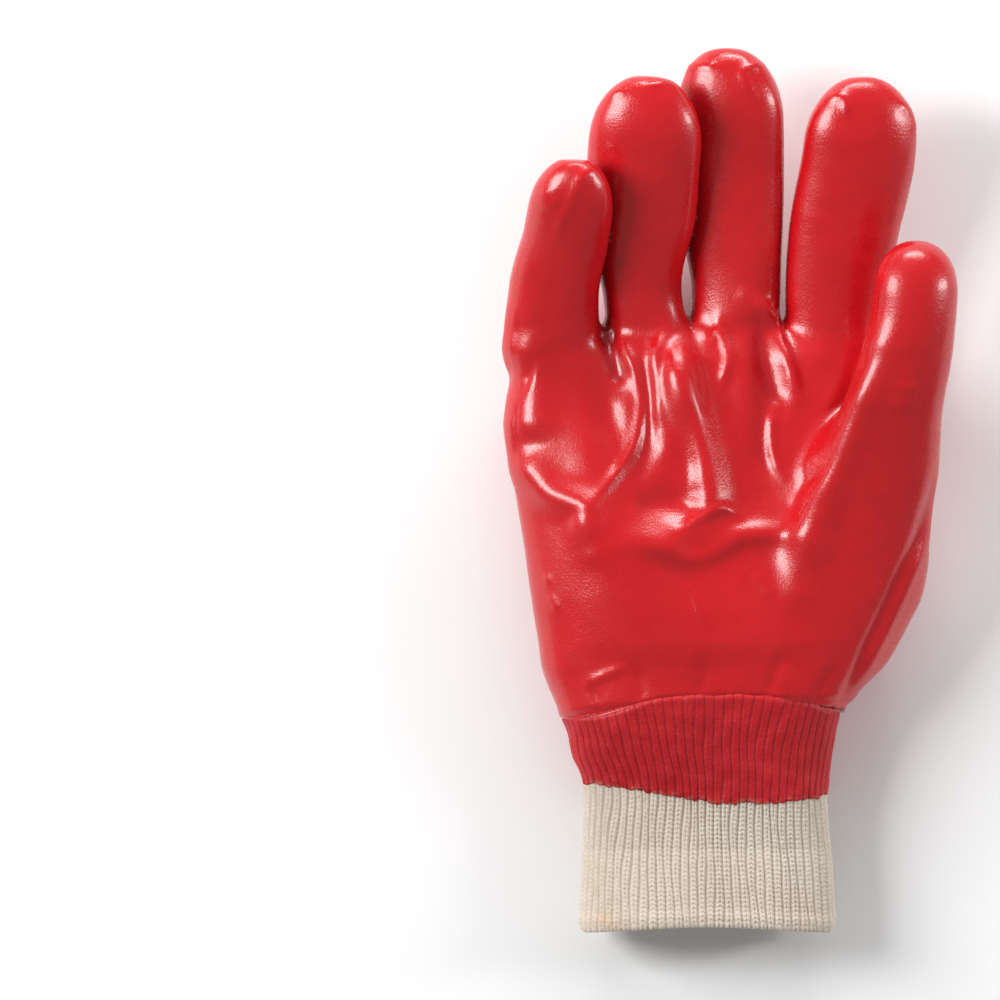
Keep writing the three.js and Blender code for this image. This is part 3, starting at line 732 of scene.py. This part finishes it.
class Nodes:
    """Short ways to add and join a material's nodes."""

    def __init__(self, made):
        self.tree = made.node_tree
        self.place = self.add("ShaderNodeTexCoord").outputs["Object"]

    def add(self, kind, settings=None, **inputs):
        node = self.tree.nodes.new(kind)
        for key, value in (settings or {}).items():
            setattr(node, key, value)
        for key, value in inputs.items():
            self.put(node, key.replace("_", " "), value)
        return node

    def put(self, node, key, value):
        socket = node.inputs[key]
        if isinstance(value, bpy.types.NodeSocket):
            self.tree.links.new(value, socket)
        else:
            socket.default_value = value

    def noise(self, scale, detail=2.0, roughness=0.5):
        node = self.add("ShaderNodeTexNoise", Vector=self.place, Scale=scale, Detail=detail)
        node.inputs["Roughness"].default_value = roughness
        return node.outputs["Fac"]

    def spots(self, scale, low, high):
        """One inside small spots and zero between them."""
        node = self.add("ShaderNodeTexVoronoi", Vector=self.place, Scale=scale)
        return self.ramp(node.outputs["Distance"], high, low)

    def span(self, value, low, high, to_low, to_high, kind="LINEAR"):
        """A change of range, kept between its ends."""
        node = self.add("ShaderNodeMapRange", {"interpolation_type": kind}, Value=value)
        ends = {"From Min": low, "From Max": high, "To Min": to_low, "To Max": to_high}
        for key, number in ends.items():
            self.put(node, key, number)
        return node.outputs["Result"]

    def ramp(self, value, low, high, to_low=0.0, to_high=1.0):
        """The same change with soft ends."""
        return self.span(value, low, high, to_low, to_high, "SMOOTHSTEP")

    def mix(self, share, first, second):
        """One colour where share is zero and another where it is one."""
        node = self.add("ShaderNodeMix", {"data_type": "RGBA"})
        for index, value in ((0, share), (6, first), (7, second)):
            self.put(node, index, value)
        return node.outputs[2]

    def times(self, first, second):
        node = self.add("ShaderNodeMath", {"operation": "MULTIPLY"})
        self.put(node, 0, first)
        self.put(node, 1, second)
        return node.outputs[0]

    def number(self, key):
        return self.add("ShaderNodeAttribute", {"attribute_name": key}).outputs["Fac"]

    def bump(self, height, distance, strength=1.0, below=None):
        node = self.add("ShaderNodeBump", Height=height, Distance=distance, Strength=strength)
        if below is not None:
            self.put(node, "Normal", below)
        return node.outputs["Normal"]

    def finish(self, **inputs):
        shader = self.add("ShaderNodeBsdfPrincipled")
        for key, value in inputs.items():
            self.put(shader, key.replace("_", " "), value)
        out = self.add("ShaderNodeOutputMaterial")
        self.tree.links.new(shader.outputs["BSDF"], out.inputs["Surface"])


def srgb(r, g, b):
    """A colour from its screen values of 0 to 255."""
    lin = [(c / 255 / 12.92) if c < 10 else ((c / 255 + 0.055) / 1.055) ** 2.4 for c in (r, g, b)]
    return (*lin, 1.0)


def pvc_material():
    """Glossy red coating, a little mottled, with small bubbles, a fine grain and painted shade."""
    made = material("red_pvc")
    n = Nodes(made)
    broad = n.ramp(n.noise(22, 3), 0.35, 0.65)
    colour = n.mix(broad, srgb(192, 12, 22), srgb(202, 16, 27))
    mottle = n.ramp(n.noise(170, 4, 0.6), 0.4, 0.7, 0.0, 0.4)
    colour = n.mix(mottle, colour, srgb(185, 10, 20))
    # Painted shade: the coating is painted darker in crevices, fold valleys and on the seam welt.
    painted_shade = n.ramp(n.number("painted_shade"), 0.1, 1.0, 0.0, 0.7)
    colour = n.mix(painted_shade, colour, srgb(150, 12, 24))
    few = n.ramp(n.noise(60, 2), 0.55, 0.7)
    bubbles = n.times(n.spots(330, 0.05, 0.1), few)
    colour = n.mix(n.times(bubbles, 0.15), colour, srgb(226, 96, 100))
    rough = n.span(n.noise(75, 3), 0.3, 0.7, 0.22, 0.33)
    normal = n.bump(n.noise(420, 3, 0.55), 0.00016, 0.4)
    normal = n.bump(n.noise(1500, 2, 0.6), 0.00015, 0.6, normal)
    normal = n.bump(bubbles, 0.0001, 0.3, normal)
    n.finish(
        Base_Color=colour, Roughness=rough, Normal=normal, Coat_Weight=0.28, Coat_Roughness=0.15,
        Specular_IOR_Level=0.5, Subsurface_Weight=0.06, Subsurface_Radius=(0.004, 0.0006, 0.0006),
        Subsurface_Scale=0.5,
    )
    return made


def coated_rib_material():
    """Satin red coating soaked into ribs, thin and pale at its lower edge."""
    made = material("red_coated_rib")
    n = Nodes(made)
    broad = n.ramp(n.noise(40, 3), 0.35, 0.65)
    colour = n.mix(broad, srgb(182, 18, 28), srgb(196, 24, 34))
    # Painted shade: the grooves between the coated ribs are painted darker.
    groove = n.ramp(n.number("groove"), 0.25, 1.0, 0.0, 0.5)
    colour = n.mix(groove, colour, srgb(128, 10, 20))
    grain = n.noise(1300, 3, 0.65)
    colour = n.mix(n.ramp(grain, 0.5, 0.75, 0.0, 0.35), colour, srgb(214, 74, 78))
    thin = n.ramp(n.number("thin"), 0.0, 1.0, 0.0, 0.55)
    worn = n.times(thin, n.ramp(n.noise(600, 2), 0.42, 0.6))
    colour = n.mix(worn, colour, srgb(196, 120, 108))
    sparkle = n.spots(1100, 0.12, 0.24)
    rough = n.span(sparkle, 0.0, 1.0, 0.5, 0.14)
    normal = n.bump(grain, 0.00016, 0.7)
    normal = n.bump(n.noise(520, 2), 0.0002, 0.5, normal)
    n.finish(Base_Color=colour, Roughness=rough, Normal=normal, Specular_IOR_Level=0.35)
    return made


def knit_material():
    """Undyed cotton yarn, fuzzy, with painted shade in the grooves and a faint stain."""
    made = material("cream_rib_knit")
    n = Nodes(made)
    broad = n.ramp(n.noise(35, 3), 0.3, 0.7)
    colour = n.mix(broad, srgb(214, 200, 184), srgb(224, 212, 198))
    heather = n.ramp(n.noise(900, 3, 0.7), 0.45, 0.75, 0.0, 0.5)
    colour = n.mix(heather, colour, srgb(190, 172, 152))
    # Painted shade: the grooves and slits between the ribs are painted darker.
    groove = n.ramp(n.number("groove"), 0.2, 1.0, 0.0, 0.5)
    colour = n.mix(groove, colour, srgb(158, 138, 120))
    stain = n.times(n.number("stain"), n.ramp(n.noise(420, 3), 0.3, 0.6))
    colour = n.mix(stain, colour, srgb(214, 150, 96))
    fuzz = n.noise(2600, 3, 0.7)
    normal = n.bump(fuzz, 0.00014, 0.6)
    normal = n.bump(n.noise(800, 2), 0.00022, 0.5, normal)
    rough = n.span(fuzz, 0.3, 0.7, 0.86, 0.98)
    n.finish(
        Base_Color=colour, Roughness=rough, Normal=normal, Sheen_Weight=0.25, Sheen_Roughness=0.5,
        Specular_IOR_Level=0.25,
    )
    return made


def lining_material():
    """The cotton inside of the hand."""
    made = material("cotton_lining")
    n = Nodes(made)
    broad = n.ramp(n.noise(60, 3), 0.3, 0.7)
    colour = n.mix(broad, srgb(206, 190, 172), srgb(222, 208, 192))
    weave = None
    for way in ("X", "Y"):
        wave = n.add(
            "ShaderNodeTexWave", {"bands_direction": way}, Vector=n.place, Scale=420.0,
            Distortion=1.5,
        ).outputs["Fac"]
        weave = wave if weave is None else n.times(weave, wave)
    colour = n.mix(n.ramp(weave, 0.0, 0.5, 0.5, 0.0), colour, srgb(168, 150, 132))
    normal = n.bump(weave, 0.0002, 0.6)
    rough = n.span(n.noise(700, 2), 0.3, 0.7, 0.88, 0.97)
    n.finish(Base_Color=colour, Roughness=rough, Normal=normal, Sheen_Weight=0.2)
    return made


def build_hand(coated, lining):
    """The hand: a coated outside, a cotton inside, and the rim that joins them at the wrist."""
    axes = grid_axes(GRID)
    outer, outer_faces = surface_net(hand_grid(*axes), *axes)
    outer = settle(hand_field, outer, 2, GRID / 2)
    outer, outer_faces = cut_open(outer, outer_faces, SLEEVE_CUT)
    normal = unit(slope(hand_field, outer))
    closed = np.zeros(len(outer))
    for away in CREVICE_REACHES:
        near = np.clip(1 - hand_field(outer + away * normal) / away, 0, 1)
        closed += near / len(CREVICE_REACHES)
    height = surface_height(outer, normal) * (1 - 0.9 * smoothstep(closed, 0.25, 0.75))
    folds = fold_height(outer, normal)
    # Painted shade: a number that rises in crevices and fold valleys and darkens the coating there.
    painted_shade = np.clip(1.1 * closed + np.clip(-folds, 0, 1.5) * 0.5 - 0.1, 0, 1)
    outer = outer + normal * height[:, None]
    outer[:, 2] = np.maximum(outer[:, 2], 0)

    axes = grid_axes(LINING_GRID)
    deep = HAND_WALL + LINING_GAP
    inner, inner_faces = surface_net(hand_grid(*axes) + deep, *axes)
    inner = settle(lambda p: hand_field(p) + deep, inner, 2, LINING_GRID / 2)
    inner, inner_faces = cut_open(inner, inner_faces, deep + 0.5 * LINING_GRID)
    inside = unit(slope(hand_field, inner))
    inner = inner + inside * surface_height(inner, inside)[:, None]
    inner[:, 2] = np.maximum(inner[:, 2], 0.8)
    outer_rim = rim_of(outer_faces)
    inner_rim = [k + len(outer) for k in rim_of(inner_faces)]
    points = taper(np.concatenate([outer, inner]))
    rim = np.array(join_rims(points, outer_rim, inner_rim))
    across = points[rim]
    facing = np.cross(across[:, 1] - across[:, 0], across[:, 2] - across[:, 0])[:, 1].sum()
    if facing > 0:
        rim = rim[:, ::-1]
    inner_faces = inner_faces[:, ::-1] + len(outer)
    which = np.concatenate([
        np.zeros(len(outer_faces)), np.ones(len(inner_faces)), np.ones(len(rim)),
    ])
    numbers = {"painted_shade": np.concatenate([painted_shade, np.zeros(len(inner))])}
    return new_object(
        "hand", points, [outer_faces, inner_faces, rim], [coated, lining], numbers, which
    )


def outline_angles(share, a, b):
    """Angles at shares of the way round an outline, with the steps of equal length."""
    turn = np.linspace(0, 2 * math.pi, 721)
    c, s = np.cos(turn), np.sin(turn)
    x = a * powered(c, 2 / ROUNDNESS)
    z = b * powered(s, 2 / ROUNDNESS)
    passed = np.concatenate([[0], np.cumsum(np.hypot(np.diff(x), np.diff(z)))])
    return np.interp((share % 1) * passed[-1], passed, turn)


def cuff_points(down, share, inset):
    """Points of the cuff, down below the seam and a share of the way round, taken in by inset."""
    along = np.clip(down / CUFF_LENGTH, 0, 1)
    a = column(CUFF_ROWS, 1, along) * CUFF_WIDTH / 2
    b = column(CUFF_ROWS, 2, along) * CUFF_DEPTH / 2
    angle = np.stack([
        outline_angles(one, a_row.mean(), b_row.mean())
        for one, a_row, b_row in zip(share + 0 * down, a, b)
    ])
    c, s = np.cos(angle), np.sin(angle)
    c = powered(c, 2 / ROUNDNESS)
    s = powered(s, 2 / ROUNDNESS)
    nx = powered(c, ROUNDNESS - 1) / a
    nz = powered(s, ROUNDNESS - 1) / b
    size = np.hypot(nx, nz)
    lying = CUFF_DEPTH / 2 - CUFF_SAG
    height = WRIST_HEIGHT + (lying - WRIST_HEIGHT) * np.minimum(1, along * 1.6)
    fade = np.clip((SEAM_FADE - along) / (SEAM_FADE - BAND_TOP / CUFF_LENGTH), 0, 1)
    x = column(CUFF_ROWS, 3, along) * CUFF_WIDTH + a * c - inset * nx / size
    y = -down + (SEAM_RISE * np.sin(angle) + SEAM_TILT * np.cos(angle)) * fade
    z = height + b * s - inset * nz / size
    return np.stack([x, y, np.maximum(z, np.maximum(inset, 0))], -1)


def taper(p):
    """Draws both sides of the wrist in, where hand and band meet."""
    moved = p.copy()
    for side, amount, below, above, out in (
        (-1, TAPER_LEFT, (-16.0, -4.0), (-14.0, 3.0), (26.0, 47.0)),
        (1, TAPER_RIGHT, (-14.0, -2.0), (-16.0, 1.0), (26.0, 45.0)),
    ):
        level = smoothstep(p[..., 1], *below) * smoothstep(-p[..., 1], *above)
        moved[..., 0] -= side * amount * level * smoothstep(side * p[..., 0], *out)
    return moved


def drape(p):
    """Soft waves of the cloth round the cuff, the same for everything on it."""
    out = p - np.array([0.0, 0.0, 15.0])
    out[..., 1] = 0
    out = unit(out.reshape(-1, 3)).reshape(p.shape)
    level = smoothstep(-p[..., 1], 4, 30) * smoothstep(p[..., 2], 1.0, 9.0)
    wavy = WAVE_HEIGHT * waves(p * np.array([1, 0.45, 1]), WAVE_SIZES, 11) * level
    return taper(p + out * wavy[..., None])


# The lower edge of the dip: share of the way round, and how far below the seam
DIP_EDGE = [
    (0.0, 25.4), (0.04, 26.8), (0.10, 28.2), (0.17, 28.6), (0.24, 28.2), (0.28, 27.1),
    (0.33, 26.0), (0.37, 24.5), (0.41, 23.8), (0.46, 22.8), (0.5, 22.8), (0.6, 26.5),
    (0.7, 30.0), (0.8, 30.5), (0.9, 28.5), (1.0, 25.4),
]


def dip_edge(share):
    """How far below the seam the dip ends, ragged from rib to rib."""
    base = np.interp(share % 1, [e[0] for e in DIP_EDGE], [e[1] for e in DIP_EDGE])
    rng = np.random.default_rng(21)
    ribs = rng.normal(0, 0.22, RIB_COUNT)
    phase = share * RIB_COUNT
    rib = np.interp(phase % RIB_COUNT, np.arange(RIB_COUNT + 1), np.append(ribs, ribs[0]))
    fine = 0.12 * np.sin(phase * 5.1) + 0.12 * np.sin(phase * 2.3 + 1.0)
    return base + rib + fine - 0.35 * rib_dip(share)


def rib_dip(share):
    """Zero on a straight rib's crest and one in the groove beside it."""
    phase = share * RIB_COUNT
    off = 2 * np.abs(phase - np.round(phase))
    return smoothstep(off, 0.5, 0.98)


def rib_place(down, share):
    """The rib's number and the place across it, with ribs that wander a little."""
    phase = share * RIB_COUNT
    turn = 2 * math.pi * share
    wander = 0.1 * np.sin(down / 7.0 + 9 * turn) + 0.05 * np.sin(down / 3.1 + 23 * turn + 1.0)
    phase = phase + wander
    return np.round(phase).astype(int) % RIB_COUNT, phase - np.round(phase)


def groove_depth(down, share):
    """Zero on a wandering rib's crest and one in the groove beside it."""
    _, off = rib_place(down, share)
    return smoothstep(np.abs(off), 0.24, 0.47)


def stitch(down, share):
    """Height of the knit's loops: two slanting strands a rib, one loop each course."""
    rib, off = rib_place(down, share)
    side = np.abs(off)
    rng = np.random.default_rng(31)
    shift = rng.uniform(-0.5, 0.5, RIB_COUNT)[rib]
    weight = rng.uniform(0.75, 1.15, RIB_COUNT)[rib]
    strand = np.clip(np.cos((side - 0.19) / 0.2 * math.pi / 2), 0, 1)
    loop = np.cos(2 * math.pi * (down / COURSE + shift - 2.2 * side))
    slit = np.exp(-((side / 0.06) ** 2))
    purl = smoothstep(side, 0.36, 0.46) * np.cos(2 * math.pi * (down / COURSE + 0.5))
    return weight * (0.2 * strand * loop - 0.34 * slit) + 0.08 * purl


def ring_faces(rows, sides):
    """Four-sided faces between rings of as many corners, and from the last ring to the first."""
    i = np.arange(rows)[:, None] * sides
    after = (i + sides) % (rows * sides)
    j = np.arange(sides)[None, :]
    k = (j + 1) % sides
    return np.stack([i + j, i + k, after + k, after + j], -1).reshape(-1, 4)


def build_tube(name, outside, inside, made, numbers):
    """A closed tube from outer rings and inner rings with the same number of corners each.

    Both run from the lower rim up, and the rims are joined by one more row of faces each.
    """
    rings = np.concatenate([outside, inside[::-1]])
    faces = ring_faces(*rings.shape[:2])
    numbers = {
        key: np.concatenate([out.ravel(), inn[::-1].ravel()])
        for key, (out, inn) in numbers.items()
    }
    return new_object(name, rings.reshape(-1, 3), [faces], [made], numbers)


def stain(p):
    """How strong the faint stain near the hem is."""
    gap = np.linalg.norm((p - np.array(STAIN_PLACE)) / np.array(STAIN_SIZES), axis=-1)
    return 0.5 * np.exp(-(gap**2))


def build_knit(knit):
    """The rib-knit tube, with its loops, from the rolled hem up to its end in the hand."""
    share = (np.arange(TUBE_SIDES) / TUBE_SIDES)[None, :]
    edge = dip_edge(share)
    hem = CUFF_LENGTH - HEM_RISE * np.sin(2 * math.pi * share) ** 2 * 0.8
    corner = np.abs((share + 0.25) % 0.5 - 0.25)
    hem = hem - 2.0 * np.exp(-((corner / 0.016) ** 2))
    part = np.linspace(0, 1, KNIT_ROWS)[:, None]
    down = hem - HEM_LIP + (edge - 3.5 - hem + HEM_LIP) * part
    under = smoothstep(edge - down, -0.2, 2.6) * UNDER_BAND
    grow = 0.10 * (1 - smoothstep(edge - down, -1.0, 0.5))
    groove = groove_depth(down, share)
    slit = np.exp(-((rib_place(down, share)[1] / 0.07) ** 2))
    welt = 0.3 * np.exp(-(((hem - down - 3.2) / 1.8) ** 2))
    relief_in = RIB_RELIEF * groove * (1 - 0.35 * smoothstep(down, hem - 3.0, hem - 1.0))
    inset = under - grow + relief_in - stitch(down, share) * (1 - 0.6 * under) - welt + 0.12
    body = drape(cuff_points(down, share + 0 * down, inset))
    # From here the groove mark also sets the knit's painted shade in its grooves and slits.
    groove = np.maximum(0.8 * groove, 0.85 * slit)
    marks = [groove]
    rolls = []
    for turn in (20, 45, 70, 95):
        t = math.radians(turn)
        at = hem - HEM_LIP + HEM_LIP * math.sin(t)
        take = inset[:1] + 0.9 * (1 - math.cos(t))
        rolls.append(drape(cuff_points(at, share, take)))
        marks.insert(0, groove[:1])
    outside = np.concatenate([*rolls[::-1], body])
    for at in (BAND_TOP + 14, BAND_TOP + 6, BAND_TOP, 0.0):
        take = KNIT_UNDER + 0.4 * groove[:1]
        outside = np.concatenate([outside, drape(cuff_points(at + 0 * share, share, take))])
        marks.append(groove[:1])
    tuck = outside[-1:].copy()
    tuck[..., 1] += KNIT_TUCK
    outside = np.concatenate([outside, tuck])
    marks.append(groove[:1])
    outer_groove = np.concatenate(marks)
    thick = KNIT_WALL + 0.15
    levels = [0.0, -0.9, -3.0] + list(-np.arange(6.0, CUFF_LENGTH - 6, 3.2))
    inside = []
    for level in levels:
        at = hem - 0.7 + level
        base = UNDER_BAND * smoothstep(edge - at, -0.2, 2.6)
        base = np.maximum(base, KNIT_UNDER * smoothstep(14 - at, 0, 8))
        take = base + thick + 0.5 * (1 - groove[:1])
        inside.append(drape(cuff_points(at, share, take)))
    top_in = drape(cuff_points(0 * share, share, KNIT_UNDER + thick + 0 * share))
    tuck = top_in.copy()
    tuck[..., 1] += KNIT_TUCK
    inside = np.concatenate([*inside, top_in, tuck])
    inner_groove = np.repeat(1 - groove[:1], len(inside), 0)
    numbers = {
        "groove": (outer_groove, inner_groove),
        "stain": (stain(outside), 0 * inner_groove),
    }
    return build_tube("knit", outside, inside, knit, numbers)


def band_top(share):
    """How far below the seam's middle line the band starts, just under the hand's edge."""
    place = cuff_points(0 * share, share, 0 * share)
    turn = 2 * math.pi * share
    front = smoothstep(np.sin(turn), -0.2, 0.2)
    return place[..., 1] - seam_line(place[..., 0], front) - 1.0


def build_band(coated_rib):
    """The dip over the knit: ribs with half-filled grooves and a ragged, thinning edge."""
    share = (np.arange(TUBE_SIDES) / TUBE_SIDES)[None, :]
    edge = dip_edge(share)
    part = np.linspace(0, 1, BAND_ROWS)[:, None]
    start = band_top(share)
    down = edge + (start - edge) * part
    thin = 1 - smoothstep(edge - down, 0, 2.2)
    groove = groove_depth(down, share)
    fill = 0.34 + 0.2 * thin - 0.2 * smoothstep(9 - down, 0, 7)
    loops = stitch(down, share) * (0.3 + 0.3 * thin)
    bulge = 0.16 * waves(np.stack([share * 170 + 0 * down, down, 0 * down], -1), (4, 11), 41)
    inset = fill * groove - loops - bulge * (1 - thin) - 0.28 + 0.1 * thin
    inset += 0.7 * smoothstep(start + 1.8 - down, 0, 1.2)
    outside = drape(cuff_points(down, share + 0 * down, inset))
    depth = 0.18 + (DIP_WALL - 0.2) * smoothstep(edge - down, 0, 2.5)
    inside = drape(cuff_points(down, share + 0 * down, inset + depth))
    few = np.unique(np.concatenate([[0, 1, 2, 4], np.arange(6, len(part), 6), [len(part) - 1]]))
    # The groove mark also sets the painted shade in the band's grooves.
    numbers = {
        "groove": (groove, groove[few]),
        "thin": (thin, thin[few]),
    }
    return build_tube("dip_band", outside, inside[few], coated_rib, numbers)


def build_welt(coated):
    """The soft raised line of the seam between hand and band."""
    sides, around = 14, 360
    share = (np.arange(around) / around)[None, :]
    start = band_top(share)
    rings = []
    for k in range(sides):
        turn = -2 * math.pi * k / sides
        level = start + 1.1 - 0.8 * math.sin(turn)
        inset = 0.95 - 0.75 * math.cos(turn) + 0 * share
        inset = inset - 0.12 * np.sin(share * 2 * math.pi * 9) * max(0.0, math.cos(turn))
        rings.append(drape(cuff_points(level, share, inset)))
    points = np.concatenate(rings).reshape(-1, 3)
    # The whole welt gets the same painted shade, which darkens its coating.
    numbers = {"painted_shade": np.full(len(points), WELT_PAINTED_SHADE)}
    return new_object("seam_welt", points, [ring_faces(sides, around)], [coated], numbers)


def face_out(piece):
    """Turns a closed mesh's faces outward."""
    mesh = bmesh.new()
    mesh.from_mesh(piece.data)
    if mesh.calc_volume(signed=True) < 0:
        bmesh.ops.reverse_faces(mesh, faces=mesh.faces)
    mesh.to_mesh(piece.data)
    mesh.free()


def area_light(name, place, aim, size, power):
    """A soft box that faces the aim."""
    light = bpy.data.lights.new(name, "AREA")
    light.shape = "RECTANGLE"
    light.size, light.size_y = size
    light.energy = power
    lamp = bpy.data.objects.new(name, light)
    lamp.location = place
    way = np.array(aim) - np.array(place)
    flat = math.hypot(way[0], way[1])
    lamp.rotation_euler = (math.atan2(flat, -way[2]), 0, math.atan2(-way[0], way[1]))
    bpy.context.collection.objects.link(lamp)


def studio():
    world = bpy.data.worlds.new("studio")
    world.use_nodes = True
    sky = world.node_tree.nodes["Background"]
    sky.inputs["Color"].default_value = (1.0, 1.0, 1.0, 1.0)
    sky.inputs["Strength"].default_value = 0.3
    bpy.context.scene.world = world
    aim = (0.0, 0.0, 0.02)
    area_light("top_box", (0.0, 1.35, 0.5), aim, (0.9, 0.22), 14.0)
    area_light("left_box", (-1.02, 0.31, 0.83), aim, (0.45, 0.7), 15.0)
    area_light("right_box", (1.3, 0.2, 0.55), aim, (0.2, 0.6), 8.0)


def floor():
    mesh = bpy.data.meshes.new("floor")
    reach = 4.0
    level = -0.0004
    mesh.from_pydata(
        [(-reach, -reach, level), (reach, -reach, level), (reach, reach, level),
         (-reach, reach, level)],
        [],
        [(0, 1, 2, 3)],
    )
    made = material("pale_floor")
    n = Nodes(made)
    colour = n.mix(n.noise(3, 2), (0.93, 0.93, 0.93, 1.0), (0.95, 0.95, 0.95, 1.0))
    n.finish(Base_Color=colour, Roughness=0.9, Specular_IOR_Level=0.1)
    mesh.materials.append(made)
    piece = bpy.data.objects.new("floor", mesh)
    bpy.context.collection.objects.link(piece)


def camera():
    """A long lens straight above, with the photograph's frame 0.3 m wide at the glove's height."""
    data = bpy.data.cameras.new("camera")
    data.lens = 400.0
    data.sensor_width = 36.0
    data.clip_end = 50.0
    piece = bpy.data.objects.new("camera", data)
    wide = 0.3
    level = 0.02
    piece.location = (-0.0693, -0.0026, level + wide * data.lens / data.sensor_width)
    bpy.context.collection.objects.link(piece)
    bpy.context.scene.camera = piece


camera()
studio()
floor()
bpy.context.scene.view_settings.view_transform = "Standard"

pvc = pvc_material()
hand = build_hand(pvc, lining_material())
welt = build_welt(pvc)
band = build_band(coated_rib_material())
knit = build_knit(knit_material())
for piece in (hand, welt, band, knit):
    face_out(piece)
    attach(piece, "root")
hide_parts("coated_hand")
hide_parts("wrist_seam")
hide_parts("dipped_band")
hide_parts("knit_cuff")
